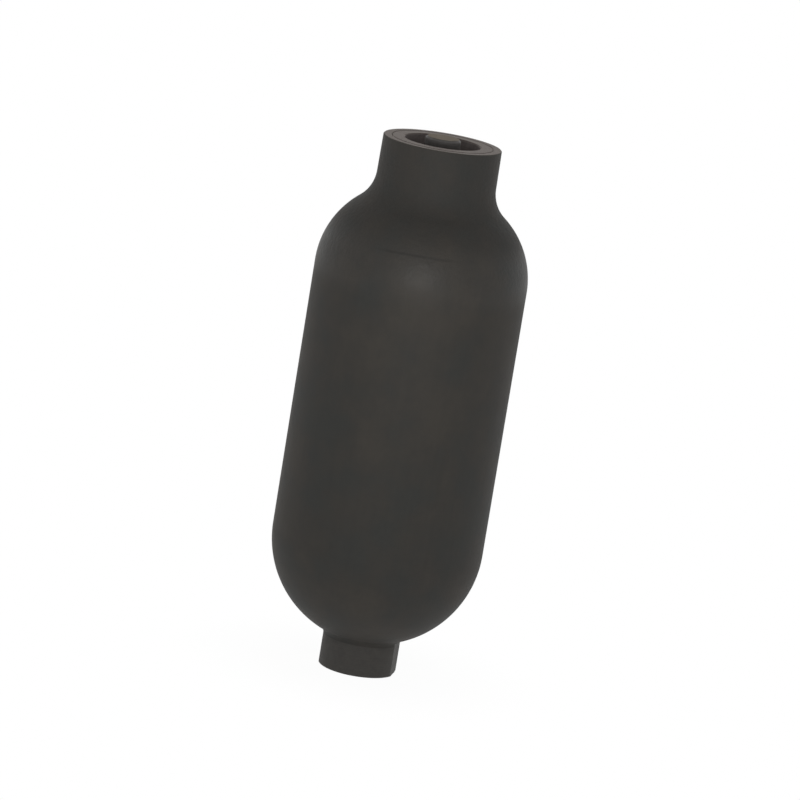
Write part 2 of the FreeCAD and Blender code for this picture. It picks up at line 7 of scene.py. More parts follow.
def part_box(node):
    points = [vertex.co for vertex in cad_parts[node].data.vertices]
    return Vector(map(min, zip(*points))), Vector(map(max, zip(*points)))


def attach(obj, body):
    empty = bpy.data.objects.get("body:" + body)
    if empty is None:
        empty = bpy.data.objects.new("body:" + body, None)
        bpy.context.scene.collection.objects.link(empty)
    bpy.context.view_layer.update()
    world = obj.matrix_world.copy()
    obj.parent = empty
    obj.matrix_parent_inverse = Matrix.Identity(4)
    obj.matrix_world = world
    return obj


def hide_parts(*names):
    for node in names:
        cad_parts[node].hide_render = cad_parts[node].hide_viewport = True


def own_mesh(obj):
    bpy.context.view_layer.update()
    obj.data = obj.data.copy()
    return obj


# Hydraulic bladder accumulator: lengths below are millimetres, and the mesh makers turn them to metres.
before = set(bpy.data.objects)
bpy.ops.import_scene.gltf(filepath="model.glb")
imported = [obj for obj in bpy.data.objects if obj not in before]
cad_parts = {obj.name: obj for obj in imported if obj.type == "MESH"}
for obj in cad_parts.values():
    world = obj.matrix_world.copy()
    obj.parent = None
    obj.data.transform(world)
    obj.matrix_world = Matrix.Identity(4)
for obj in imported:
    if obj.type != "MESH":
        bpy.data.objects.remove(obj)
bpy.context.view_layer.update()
print("frame loaded,", len(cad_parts), "nodes")


# Colours and nodes
def linear(hexColour):
    # sRGB hex to the linear colour that sockets take
    srgb = np.array([int(hexColour[i:i + 2], 16) for i in (1, 3, 5)]) / 255
    light = np.where(srgb <= 0.04045, srgb / 12.92, ((srgb + 0.055) / 1.055) ** 2.4)
    return (*light.tolist(), 1.0)


def add(tree, kind, inputs=None, **settings):
    # one node: its settings, then each input as a value or as the socket that feeds it
    made = tree.nodes.new("ShaderNode" + kind)
    for key, value in settings.items():
        setattr(made, key, value)
    for key, value in (inputs or {}).items():
        if isinstance(value, bpy.types.NodeSocket):
            tree.links.new(value, made.inputs[key])
        else:
            made.inputs[key].default_value = value
    return made


def newMaterial(name):
    # an empty material and its tree, with the piece's own coordinates in metres
    material = bpy.data.materials.new(name)
    material.use_nodes = True
    tree = material.node_tree
    tree.nodes.clear()
    place = add(tree, "TexCoord").outputs["Object"]
    return material, tree, place


def finishSurface(tree, shader):
    add(tree, "OutputMaterial", {"Surface": shader.outputs[0]})


def acrossAndUp(tree, place):
    # distance from the axis, and height
    flat = add(tree, "VectorMath", {0: place, 1: (1, 1, 0)}, operation="MULTIPLY")
    radius = add(tree, "VectorMath", {0: flat.outputs[0]}, operation="LENGTH").outputs["Value"]
    height = add(tree, "SeparateXYZ", {0: place}).outputs["Z"]
    return radius, height


def ringLines(tree, place):
    # distance from the axis less the height, whose level lines are rings on any turned face
    radius, height = acrossAndUp(tree, place)
    return add(tree, "Math", {0: radius, 1: height}, operation="SUBTRACT").outputs[0]


# Finishes
forging = {
    "colour": "#353330", "warm": "#393632", "cool": "#323230", "cloudRange": (0.36, 0.66),
    "roughness": 0.7, "spunRoughness": 0.495, "roughSpread": 0.16, "specular": 0.2,
    "grain": 0.7, "dimples": 12.0, "patchRelief": 0.5, "bump": 0.22, "drawMarks": 0.08,
    # heights between which the spun marks begin, and the burnished band begins and ends
    "spunRise": (318, 345), "burnishRise": (306, 332), "burnishFall": (344, 366),
    "lapLine": "#232220", "lapHeight": 350.3, "lapWander": 1.6, "lapWidth": 1.8, "lapDepth": 0.5,
    "lapAngle": -84.0, "lapReach": 25.0,
    "speck": "#5a5750", "speckShare": 0.1,
    # colour and places of the paler edges: on the gas neck's rim partly wear and partly a painted highlight,
    # on the port neck's foot wear
    "rubbedAndHighlight": "#4c4944", "rimRadius": 46.6, "rimHeight": 428.8, "rimReach": 0.9,
    "footRadius": 31.2, "footHeight": 0.3, "footReach": 1.0,
}


def nearEdge(tree, radius, height, edgeRadius, edgeHeight, reach):
    # 1 on the circle of that radius and height (mm), falling to 0 at reach (mm) from it
    out = add(tree, "Math", {0: radius, 1: edgeRadius / 1000}, operation="SUBTRACT")
    up = add(tree, "Math", {0: height, 1: edgeHeight / 1000}, operation="SUBTRACT")
    both = add(tree, "CombineXYZ", {0: out.outputs[0], 1: up.outputs[0]})
    away = add(tree, "VectorMath", {0: both.outputs[0]}, operation="LENGTH").outputs["Value"]
    return add(tree, "MapRange", {0: away, 1: 0, 2: reach / 1000, 3: 1, 4: 0},
               interpolation_type="SMOOTHSTEP").outputs[0]


def forgedFinish():
    # Manganese phosphate on a shot-blasted forging: dry, very dark warm grey, an even crystal grain, soft
    # clouds where the bath took unevenly, faint draw marks down the tube, faint rings on the spun shoulder.
    f = forging
    material, tree, place = newMaterial("phosphatedForging")
    radius, height = acrossAndUp(tree, place)
    # clouds of 45 mm and patches of 10 mm
    clouds = add(tree, "TexNoise", {"Vector": place, "Scale": 22, "Detail": 3, "Roughness": 0.55})
    patches = add(tree, "TexNoise", {"Vector": place, "Scale": 95, "Detail": 4, "Roughness": 0.6})
    tint = add(tree, "ValToRGB", {0: clouds.outputs[0]})
    stops = tint.color_ramp.elements
    for stop, position, key in zip(stops, f["cloudRange"], ("cool", "warm")):
        stop.position = position
        stop.color = linear(f[key])
    stops.new(0.5).color = linear(f["colour"])
    level = add(tree, "MapRange", {0: patches.outputs[0], 1: 0.3, 2: 0.7, 3: 0.94, 4: 1.06})
    # draw marks of 4 mm by 140 mm
    drawn = add(tree, "VectorMath", {0: place, 1: (260, 260, 7)}, operation="MULTIPLY")
    drawn = add(tree, "TexNoise", {"Vector": drawn.outputs[0], "Scale": 1.0, "Detail": 2})
    level = add(tree, "Math", {0: drawn.outputs[0], 1: f["drawMarks"], 2: level.outputs[0]},
                operation="MULTIPLY_ADD")
    base = add(tree, "VectorMath", {0: tint.outputs[0], 3: level.outputs[0]}, operation="SCALE")

    # the faint lap line where the spinning roller ended, full at its middle angle and gone at its reach
    wander = add(tree, "Math", {0: patches.outputs[0], 1: f["lapWander"] / 1000,
                                2: (f["lapHeight"] - f["lapWander"] / 2) / 1000}, operation="MULTIPLY_ADD")
    away = add(tree, "Math", {0: height, 1: wander.outputs[0]}, operation="SUBTRACT")
    away = add(tree, "Math", {0: away.outputs[0]}, operation="ABSOLUTE")
    lap = add(tree, "MapRange", {0: away.outputs[0], 1: 0, 2: f["lapWidth"] / 1000, 3: 1, 4: 0},
              interpolation_type="SMOOTHSTEP")
    lapAngle, lapReach = math.radians(f["lapAngle"]), math.radians(f["lapReach"])
    facing = add(tree, "VectorMath", {0: place, 1: (math.cos(lapAngle), math.sin(lapAngle), 0)},
                 operation="DOT_PRODUCT")
    facing = add(tree, "Math", {0: facing.outputs["Value"], 1: radius}, operation="DIVIDE")
    sector = add(tree, "MapRange", {0: facing.outputs[0], 1: math.cos(lapReach), 2: math.cos(lapReach / 2),
                                    3: 0, 4: f["lapDepth"]}, interpolation_type="SMOOTHSTEP")
    lap = add(tree, "Math", {0: lap.outputs[0], 1: sector.outputs[0]}, operation="MULTIPLY")
    base = add(tree, "MixRGB", {0: lap.outputs[0], 1: base.outputs[0], 2: linear(f["lapLine"])})

    # a few bare specks, where something chipped the coating, one at most in each cell of 21 mm
    cells = add(tree, "TexVoronoi", {"Vector": place, "Scale": 48})
    chosen = add(tree, "SeparateColor", {0: cells.outputs["Color"]})
    chosen = add(tree, "Math", {0: chosen.outputs[0], 1: 1 - f["speckShare"]}, operation="GREATER_THAN")
    near = add(tree, "MapRange", {0: cells.outputs["Distance"], 1: 0.02, 2: 0.045, 3: 0.7, 4: 0},
               interpolation_type="SMOOTHSTEP")
    speck = add(tree, "Math", {0: near.outputs[0], 1: chosen.outputs[0]}, operation="MULTIPLY")
    base = add(tree, "MixRGB", {0: speck.outputs[0], 1: base.outputs[0], 2: linear(f["speck"])})

    # paler along the gas neck's rim, partly coating rubbed thin and partly a painted highlight on its
    # chamfer, and the coating rubbed thin along the port neck's foot
    rim = nearEdge(tree, radius, height, f["rimRadius"], f["rimHeight"], f["rimReach"])
    foot = nearEdge(tree, radius, height, f["footRadius"], f["footHeight"], f["footReach"])
    rubbedAndHighlight = add(tree, "Math", {0: rim, 1: foot}, operation="MAXIMUM")
    rubbedAndHighlight = add(tree, "Math", {0: rubbedAndHighlight.outputs[0], 1: patches.outputs[0]}, operation="MULTIPLY")
    base = add(tree, "MixRGB", {0: rubbedAndHighlight.outputs[0], 1: base.outputs[0], 2: linear(f["rubbedAndHighlight"])})

    # crystal grain of 0.8 mm, drawn that coarse so that it shows, and above the body rings of 2 mm and
    # dimples of 3 mm from the spinning
    grain = add(tree, "TexNoise", {"Vector": place, "Scale": 1300, "Detail": 2, "Roughness": 0.7})
    rings = add(tree, "TexNoise", {"W": ringLines(tree, place), "Scale": 520, "Detail": 2},
                noise_dimensions="1D")
    dimples = add(tree, "TexNoise", {"Vector": place, "Scale": 300, "Detail": 2})
    spun = add(tree, "MapRange", {0: height, 1: f["spunRise"][0] / 1000, 2: f["spunRise"][1] / 1000,
                                  3: 0.04, 4: 0.4})
    marks = add(tree, "Math", {0: dimples.outputs[0], 1: f["dimples"], 2: rings.outputs[0]},
                operation="MULTIPLY_ADD")
    marks = add(tree, "Math", {0: marks.outputs[0], 1: spun.outputs[0]}, operation="MULTIPLY")
    relief = add(tree, "Math", {0: grain.outputs[0], 1: f["grain"], 2: marks.outputs[0]},
                 operation="MULTIPLY_ADD")
    relief = add(tree, "Math", {0: patches.outputs[0], 1: f["patchRelief"], 2: relief.outputs[0]},
                 operation="MULTIPLY_ADD")
    bump = add(tree, "Bump", {"Height": relief.outputs[0], "Strength": f["bump"], "Distance": 0.0004})

    # the spinning tool burnished the shoulder, so it is smoother than the tube below and the neck above
    rise, fall = f["burnishRise"], f["burnishFall"]
    start = add(tree, "MapRange", {0: height, 1: rise[0] / 1000, 2: rise[1] / 1000},
                interpolation_type="SMOOTHSTEP")
    end = add(tree, "MapRange", {0: height, 1: fall[0] / 1000, 2: fall[1] / 1000, 3: 1, 4: 0},
              interpolation_type="SMOOTHSTEP")
    burnished = add(tree, "Math", {0: start.outputs[0], 1: end.outputs[0]}, operation="MULTIPLY")
    rough = add(tree, "MapRange", {0: burnished.outputs[0], 3: f["roughness"], 4: f["spunRoughness"]})
    rough = add(tree, "Math", {0: patches.outputs[0], 1: f["roughSpread"], 2: rough.outputs[0]},
                operation="MULTIPLY_ADD")
    rough = add(tree, "Math", {0: rough.outputs[0], 1: f["roughSpread"] / 2}, operation="SUBTRACT")
    finishSurface(tree, add(tree, "BsdfPrincipled", {
        "Base Color": base.outputs[0], "Roughness": rough.outputs[0], "Specular IOR Level": f["specular"],
        "Normal": bump.outputs[0]}))
    return material


def turnedMetal(name, colour, stain, metallic, roughness, rings, depth, specular=0.5, sheen="#ffffff"):
    # A face turned on a lathe: rings that follow the tool's feed, so many in a metre, drawn about three times
    # too coarse so that they show, each catching the light a little differently, and stains of 6 mm on them.
    material, tree, place = newMaterial(name)
    feed = add(tree, "TexNoise", {"W": ringLines(tree, place), "Scale": rings, "Detail": 3, "Roughness": 0.6},
               noise_dimensions="1D")
    stains = add(tree, "TexNoise", {"Vector": place, "Scale": 160, "Detail": 4, "Roughness": 0.62})
    grain = add(tree, "TexNoise", {"Vector": place, "Scale": 2600, "Detail": 1})
    share = add(tree, "MapRange", {0: stains.outputs[0], 1: 0.38, 2: 0.72})
    base = add(tree, "MixRGB", {0: share.outputs[0], 1: linear(colour), 2: linear(stain)})
    level = add(tree, "MapRange", {0: feed.outputs[0], 1: 0.3, 2: 0.7, 3: 0.9, 4: 1.1})
    base = add(tree, "VectorMath", {0: base.outputs[0], 3: level.outputs[0]}, operation="SCALE")
    # both patterns stay near 0.5, so about half of what they add is taken off first
    rough = add(tree, "Math", {0: feed.outputs[0], 1: 0.14, 2: roughness - 0.09}, operation="MULTIPLY_ADD")
    rough = add(tree, "Math", {0: stains.outputs[0], 1: 0.06, 2: rough.outputs[0]}, operation="MULTIPLY_ADD")
    relief = add(tree, "Math", {0: grain.outputs[0], 1: 0.25, 2: feed.outputs[0]}, operation="MULTIPLY_ADD")
    bump = add(tree, "Bump", {"Height": relief.outputs[0], "Strength": depth, "Distance": 0.0002})
    finishSurface(tree, add(tree, "BsdfPrincipled", {
        "Base Color": base.outputs[0], "Roughness": rough.outputs[0], "Metallic": metallic,
        "Specular IOR Level": specular, "Specular Tint": linear(sheen), "Normal": bump.outputs[0]}))
    return material


def rubberFinish():
    # Moulded nitrile rubber: near black, dull, a skin of 0.6 mm, and a bloom that greys it in 17 mm patches.
    material, tree, place = newMaterial("nitrileRubber")
    bloom = add(tree, "TexNoise", {"Vector": place, "Scale": 60, "Detail": 4})
    skin = add(tree, "TexNoise", {"Vector": place, "Scale": 1800, "Detail": 2})
    base = add(tree, "MixRGB", {0: bloom.outputs[0], 1: linear("#161616"), 2: linear("#2a2a29")})
    bump = add(tree, "Bump", {"Height": skin.outputs[0], "Strength": 0.2, "Distance": 0.0002})
    rough = add(tree, "MapRange", {0: bloom.outputs[0], 3: 0.55, 4: 0.8})
    finishSurface(tree, add(tree, "BsdfPrincipled", {
        "Base Color": base.outputs[0], "Roughness": rough.outputs[0], "Normal": bump.outputs[0]}))
    return material


def ptfeFinish():
    # Skived PTFE: waxy white with faint cutting lines 0.4 mm apart.
    material, tree, place = newMaterial("skivedPtfe")
    lines = add(tree, "TexNoise", {"W": ringLines(tree, place), "Scale": 2400, "Detail": 2},
                noise_dimensions="1D")
    base = add(tree, "MixRGB", {0: lines.outputs[0], 1: linear("#d9d8d2"), 2: linear("#e8e7e2")})
    bump = add(tree, "Bump", {"Height": lines.outputs[0], "Strength": 0.1, "Distance": 0.0001})
    finishSurface(tree, add(tree, "BsdfPrincipled", {
        "Base Color": base.outputs[0], "Roughness": 0.42, "Normal": bump.outputs[0],
        "Subsurface Weight": 0.1, "Subsurface Radius": (0.0006, 0.0006, 0.0006)}))
    return material


def wireFinish(name, colour):
    # Drawn spring wire: scale in flecks of 1.4 mm and a dull oiled sheen.
    material, tree, place = newMaterial(name)
    scale = add(tree, "TexNoise", {"Vector": place, "Scale": 700, "Detail": 3})
    base = add(tree, "MixRGB", {0: scale.outputs[0], 1: linear(colour), 2: linear("#3b3936")})
    bump = add(tree, "Bump", {"Height": scale.outputs[0], "Strength": 0.15, "Distance": 0.0001})
    rough = add(tree, "MapRange", {0: scale.outputs[0], 3: 0.25, 4: 0.5})
    finishSurface(tree, add(tree, "BsdfPrincipled", {
        "Base Color": base.outputs[0], "Metallic": 1.0, "Roughness": rough.outputs[0],
        "Normal": bump.outputs[0]}))
    return material


finishes = {
    "forged": forgedFinish(),
    # phosphate over a turned face: smooth and thin, so the steel below warms what it reflects
    "machinedDark": turnedMetal("phosphatedTurning", "#4c4643", "#443f3c", metallic=0.14, roughness=0.45,
                                rings=1500, depth=0.25, specular=0.2, sheen="#ffe0c8"),
    # the same in a bore, on the milled flats and on the port neck's side: duller, and paler, a painted light
    # that lifts the shade in the gas neck's recess and under the dome
    "borePaintedLight": turnedMetal("phosphatedBorePaintedLight", "#7a7270", "#6a6260", metallic=0.0, roughness=0.6,
                            rings=1500, depth=0.2, specular=0.3),
    "milledPaintedLight": turnedMetal("phosphatedMillingPaintedLight", "#403e3b", "#3b3937", metallic=0.0, roughness=0.62,
                              rings=1500, depth=0.15, specular=0.2),
    # hot oil blacking on the cap: neutral on the side, and paler there, a painted light that lifts its shade
    # in the neck's recess; worn browner on the top that hands and tools touch
    "capSidePaintedLight": turnedMetal("oilBlackedSteelPaintedLight", "#565351", "#4e4b49", metallic=0.0, roughness=0.52,
                           rings=1700, depth=0.25, specular=0.3),
    "capTop": turnedMetal("wornBlacking", "#4a4237", "#3f382e", metallic=0.15, roughness=0.5,
                          rings=1700, depth=0.25, specular=0.15, sheen="#ffdca0"),
    "bright": turnedMetal("turnedSteel", "#a8a49e", "#8f8a82", metallic=1.0, roughness=0.34,
                          rings=1900, depth=0.2),
    "zinc": turnedMetal("zincPlate", "#b3ada0", "#9c9580", metallic=1.0, roughness=0.36,
                        rings=1600, depth=0.16),
    "brass": turnedMetal("turnedBrass", "#b08d4f", "#927238", metallic=1.0, roughness=0.3,
                         rings=2200, depth=0.15),
    "bronze": turnedMetal("bearingBronze", "#9a7446", "#7c5c36", metallic=1.0, roughness=0.38,
                          rings=2200, depth=0.12),
    "wire": wireFinish("oiledSpringWire", "#8b8884"),
    "circlip": wireFinish("blackenedSpringSteel", "#4a4845"),
    "rubber": rubberFinish(),
    "ptfe": ptfeFinish(),
}
print("finishes made:", len(finishes))


# Profiles and grids
def arcRun(centre, radius, start, end, count):
    # points of a circle about centre from one angle to the other: 0 degrees is outwards, 90 is up
    angle = np.radians(np.linspace(start, end, count))
    return np.column_stack([centre[0] + radius * np.cos(angle), centre[1] + radius * np.sin(angle)])


def straightRun(radius, start, end, count):
    # points at one radius and at even heights, for a side, a thread or a knurl
    return np.column_stack([np.full(count, radius), np.linspace(start, end, count)])


def softRun(corners, rounding, closed=False):
    # straight runs with rounded corners: each arc touches both its runs, and one more point just past
    # each end of it keeps the flats beside it flat in the shading
    nearlyStraight, longestReach, arcStep, pastEnd = 1.52, 0.36, 0.26, 1.3
    corners = np.array(corners, float)
    count = len(corners)
    made = [] if closed else [corners[:1]]
    for i in (range(count) if closed else range(1, count - 1)):
        here, back, ahead = corners[i], corners[i - 1] - corners[i], corners[(i + 1) % count] - corners[i]
        lengths = np.hypot(*back), np.hypot(*ahead)
        back, ahead = back / lengths[0], ahead / lengths[1]
        half = math.acos(float(np.clip(back @ ahead, -1, 1))) / 2
        if half > nearlyStraight:
            made.append(here[None])
            continue
        reach = min(rounding / math.tan(half), longestReach * min(lengths))
        centre = here + (back + ahead) / np.hypot(*(back + ahead)) * reach / math.cos(half)
        start, end = here + back * reach - centre, here + ahead * reach - centre
        sweep = math.pi - 2 * half
        share = np.linspace(0, 1, max(3, round(sweep / arcStep)))[:, None]
        arc = centre + (np.sin((1 - share) * sweep) * start + np.sin(share * sweep) * end) / math.sin(sweep)
        made += [(here + back * reach * pastEnd)[None], arc, (here + ahead * reach * pastEnd)[None]]
    if not closed:
        made.append(corners[-1:])
    return np.concatenate(made)


def roundAngles(count, extra=()):
    # one turn in even steps, with more columns at the extra angles (degrees)
    return np.unique(np.concatenate([np.arange(count) * 360 / count, np.array(extra, float) % 360]).round(4))


def hexAngles(count):
    # count columns on each side of a hexagon, crowding towards its six corners
    t = np.linspace(-1, 1, count, endpoint=False)
    return np.sort(((np.arange(6)[:, None] * 60 + 30 + 30 * (1.5 * t - 0.5 * t ** 3)) % 360).ravel())


def smooth(share):
    # 0 to 1 with level ends: three times the square less twice the cube
    return share * share * (3 - 2 * share)


def meshPiece(name, points, faces, materials, body, replaces, finish=None):
    # points in millimetres, faces as arrays of 3 or 4 corners, finish as one material number a face
    mesh = bpy.data.meshes.new(name)
    corners = np.concatenate([f.ravel() for f in faces]).astype(np.int32)
    sizes = np.concatenate([np.full(len(f), f.shape[1]) for f in faces])
    mesh.vertices.add(len(points))
    mesh.vertices.foreach_set("co", (points * 0.001).astype(np.float32).ravel())
    mesh.loops.add(len(corners))
    mesh.loops.foreach_set("vertex_index", corners)
    mesh.polygons.add(len(sizes))
    mesh.polygons.foreach_set("loop_start", (np.cumsum(sizes) - sizes).astype(np.int32))
    for key in materials:
        mesh.materials.append(finishes[key])
    if finish is not None:
        mesh.polygons.foreach_set("material_index", finish.astype(np.int32))
    mesh.update(calc_edges=True)
    mesh.validate()
    mesh.shade_smooth()
    piece = bpy.data.objects.new(name, mesh)
    bpy.context.scene.collection.objects.link(piece)
    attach(piece, body)
    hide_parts(*replaces)
    return piece


def gridQuads(rows, columns, joinRows):
    # quads between neighbouring rows and round the columns, the last row joined to the first where asked
    i = np.arange(rows if joinRows else rows - 1)[:, None]
    j = np.arange(columns)[None, :]
    nextRow, nextColumn = (i + 1) % rows, (j + 1) % columns
    quads = np.broadcast_arrays(i * columns + j, i * columns + nextColumn,
                                nextRow * columns + nextColumn, nextRow * columns + j)
    return np.stack(quads, axis=-1).reshape(-1, 4)


def turnedPiece(name, profile, materials, body, replaces, angles, shape=None, finishOf=None):
    # Surface of revolution: point (i, j) is the profile's point i turned by angle j about Z. The profile
    # runs up the outside, so that faces point out. One that starts and ends on the axis is closed by two
    # poles, and any other joins its own start. shape gives the radius of every point from its radius, height
    # and angle, and finishOf gives a face's material number from its middle's radius and height.
    poled = abs(profile[0, 0]) < 1e-9 and abs(profile[-1, 0]) < 1e-9
    rings = profile[1:-1] if poled else profile
    theta = np.radians(angles)[None, :]
    radius = np.repeat(rings[:, :1], theta.shape[1], axis=1)
    height = np.repeat(rings[:, 1:], theta.shape[1], axis=1)
    if shape is not None:
        radius = shape(radius, height, theta)
    points = np.stack([radius * np.cos(theta), radius * np.sin(theta), height], axis=-1).reshape(-1, 3)
    rows, columns = len(rings), theta.shape[1]
    faces = [gridQuads(rows, columns, not poled)]
    if poled:
        j = np.arange(columns)
        nextJ, last = (j + 1) % columns, (rows - 1) * columns
        low, high = len(points), len(points) + 1
        points = np.concatenate([points, [[0, 0, profile[0, 1]], [0, 0, profile[-1, 1]]]])
        faces.append(np.column_stack([np.full(columns, low), nextJ, j]))
        faces.append(np.column_stack([last + j, last + nextJ, np.full(columns, high)]))
    finish = None
    if finishOf is not None:
        middles = np.concatenate([points[f].mean(axis=1) for f in faces])
        finish = finishOf(np.hypot(middles[:, 0], middles[:, 1]), middles[:, 2])
    meshPiece(name, points, faces, materials, body, replaces, finish)


def threaded(radius, height, theta, low, high, pitch, depth, runOut):
    # Screw thread: a rounded V that climbs one pitch a turn, its depth fading out over runOut at both ends
    turn = height / pitch - theta / (2 * np.pi)
    slope = np.abs(2 * (turn - np.floor(turn)) - 1)
    wave = smooth(np.clip((slope - 0.5) * 1.3 + 0.5, 0, 1))
    fade = np.clip(np.minimum(height - low, high - height) / runOut, 0, 1)
    return radius + depth * wave * fade


def hexed(radius, height, theta, across, low, high):
    # Hexagonal bar: the nearest flat limits the radius, and a cone of 30 degrees at each end trims the
    # corners. The cone starts a land outside the flats, and the two meet in a softened line.
    land, soft = 0.05, 0.12
    turn = (np.degrees(theta) % 60) - 30
    flat = across / 2 / np.cos(np.radians(turn))
    cone = across / 2 + np.minimum(height - low, high - height) / math.tan(math.radians(30)) + land
    gap = np.clip(0.5 + 0.5 * (cone - flat) / soft, 0, 1)
    hexRadius = cone * (1 - gap) + flat * gap - soft * gap * (1 - gap)
    inside = (height >= low - 1e-6) & (height <= high + 1e-6) & (radius > across * 0.45)
    return np.where(inside, np.minimum(radius, hexRadius), radius)


# Shell
shellForm = {
    # body, shoulder and gas neck outside
    "radius": 84.15, "lowTangent": 106.6, "highTangent": 321.4, "shoulder": 70.0, "blend": 30.0,
    "draft": 0.7, "neckRadius": 46.8, "neckTop": 429.0, "neckChamfer": 0.6, "edge": 0.3,
    # port neck outside, and the seam on its face where the section starts and ends
    "portNeck": 31.4, "portFillet": 6.0, "portChamfer": 0.8, "flat": 29.4, "flatTop": 28.0,
    "ledgeHeight": 0.5, "seam": 25.0,
    # gas neck's bores and the room inside
    "lockBore": 40.0, "lockChamfer": 0.8, "closureTop": 409.0, "closureBore": 38.6, "ledge": 387.0,
    "mouth": 34.0, "mouthFoot": 379.08, "wall": 9.0, "innerArcTop": 71.0, "knuckle": 40.0, "floorPole": 45.0,
    # port's seat, bores, circlip groove and thread
    "seatRim": 23.0, "flowBore": 16.5, "guideSeat": 36.0, "guideBore": 18.6,
    "groove": 19.7, "grooveLow": 25.0, "grooveHigh": 26.6, "relief": 21.275, "reliefTop": 24.0,
    "threadRadius": 19.475, "threadChamfer": 1.5,
    "thread": {"low": 0.9, "high": 20.0, "pitch": 2.309, "depth": 1.48, "runOut": 1.2},
}


def shellOutside():
    # Up the outside from the port's face to the neck's foot: straight runs and arcs tangent to each other
    s = shellForm
    dome = (0, s["lowTangent"])
    filletR = s["portNeck"] + s["portFillet"]
    filletZ = dome[1] - math.sqrt((s["radius"] + s["portFillet"]) ** 2 - filletR ** 2)
    down = math.degrees(math.atan2(filletZ - dome[1], filletR))
    shoulder = (s["radius"] - s["shoulder"], s["highTangent"])
    # the blend's centre: on a line that keeps the blend's radius off the drafted neck, at the distance of
    # both radii from the shoulder's centre
    draft = math.radians(s["draft"])
    dx = s["neckRadius"] + s["blend"] * math.cos(draft) - shoulder[0]
    dz = s["neckTop"] - s["neckChamfer"] + s["blend"] * math.sin(draft) - shoulder[1]
    half = dx * math.sin(draft) - dz * math.cos(draft)
    drop = -half - math.sqrt(half ** 2 - dx ** 2 - dz ** 2 + (s["shoulder"] + s["blend"]) ** 2)
    blend = (shoulder[0] + dx + drop * math.sin(draft), shoulder[1] + dz - drop * math.cos(draft))
    meet = math.degrees(math.atan2(blend[1] - shoulder[1], blend[0] - shoulder[0]))
    port = softRun([
        (s["seam"], 0), (s["flat"] - 0.4, 0), (s["portNeck"] - s["portChamfer"], 0),
        (s["portNeck"], s["portChamfer"]), (s["portNeck"], 2.4)], s["edge"])
    # the fillet's rows crowd round the height where the flats end
    ledge = (s["flatTop"] - filletZ + s["ledgeHeight"] * np.linspace(-0.62, 0.62, 9)) / s["portFillet"]
    fillet = np.unique(np.concatenate([np.linspace(0, -down, 14), np.degrees(np.arcsin(ledge))]))
    fillet = np.radians(180 - fillet)
    return np.concatenate([
        port,
        straightRun(s["portNeck"], 3.2, filletZ, 7)[:-1],
        np.column_stack([filletR + s["portFillet"] * np.cos(fillet),
                         filletZ + s["portFillet"] * np.sin(fillet)]),
        arcRun(dome, s["radius"], down, 0, 46)[1:],
        straightRun(s["radius"], s["lowTangent"], s["highTangent"], 12)[1:-1],
        arcRun(shoulder, s["radius"] - shoulder[0], 0, meet, 36),
        arcRun(blend, s["blend"], meet + 180, 180 + s["draft"], 16)[1:],
    ])


def shellNeck(foot):
    # Up the drafted neck from its foot, over the face, and down the lock ring's and the closure's bores
    s = shellForm
    return softRun([
        foot, (s["neckRadius"], s["neckTop"] - s["neckChamfer"]),
        (s["neckRadius"] - s["neckChamfer"], s["neckTop"]),
        (s["lockBore"] + s["lockChamfer"], s["neckTop"]), (s["lockBore"], s["neckTop"] - s["lockChamfer"]),
        (s["lockBore"], s["closureTop"]), (s["closureBore"], s["closureTop"]), (s["closureBore"], s["ledge"]),
        (s["mouth"], s["ledge"]), (s["mouth"], s["mouthFoot"]),
    ], s["edge"])[1:]


def shellInside():
    # Down the inner wall, over the knuckle and the crown, and through the port's seat, bores and thread
    s = shellForm
    inner = s["radius"] - s["wall"]
    depth = s["lowTangent"] - s["floorPole"]
    knuckleR = inner - s["knuckle"]
    crown = (depth ** 2 + knuckleR ** 2 - s["knuckle"] ** 2) / (2 * (depth - s["knuckle"]))
    crownZ = s["floorPole"] + crown
    turn = math.degrees(math.atan2(s["lowTangent"] - crownZ, knuckleR))
    rim, rimZ = s["seatRim"], crownZ - math.sqrt(crown ** 2 - s["seatRim"] ** 2)
    threadR, threadTop, chamfer = s["threadRadius"], s["thread"]["high"], s["threadChamfer"]
    # the poppet's seat is a cone of 45 degrees between the rim and the flow bore
    bore = softRun([
        (rim + 0.5, rimZ + 0.1), (rim, rimZ), (s["flowBore"], rimZ - rim + s["flowBore"]),
        (s["flowBore"], s["guideSeat"]), (s["guideBore"], s["guideSeat"]), (s["guideBore"], s["grooveHigh"]),
        (s["groove"], s["grooveHigh"]), (s["groove"], s["grooveLow"]), (s["guideBore"], s["grooveLow"]),
        (s["guideBore"], s["reliefTop"]), (s["relief"], s["reliefTop"]), (s["relief"], threadTop),
        (threadR, threadTop), (threadR, threadTop - 0.4),
    ], 0.2)
    return np.concatenate([
        arcRun((s["radius"] - s["shoulder"], s["highTangent"]), s["shoulder"] - s["wall"],
               s["innerArcTop"], 0, 20)[1:],
        np.array([(inner, s["lowTangent"])]),
        arcRun((knuckleR, s["lowTangent"]), s["knuckle"], 0, turn, 14)[1:],
        arcRun((0, crownZ), crown, turn, math.degrees(math.atan2(rimZ - crownZ, rim)), 14)[1:-1],
        bore,
        straightRun(threadR, threadTop - 0.6, chamfer + 0.4, 84),
        softRun([(threadR, chamfer + 0.3), (threadR, chamfer), (threadR + chamfer, 0),
                 (s["seam"] - 1, 0)], 0.25),
    ])


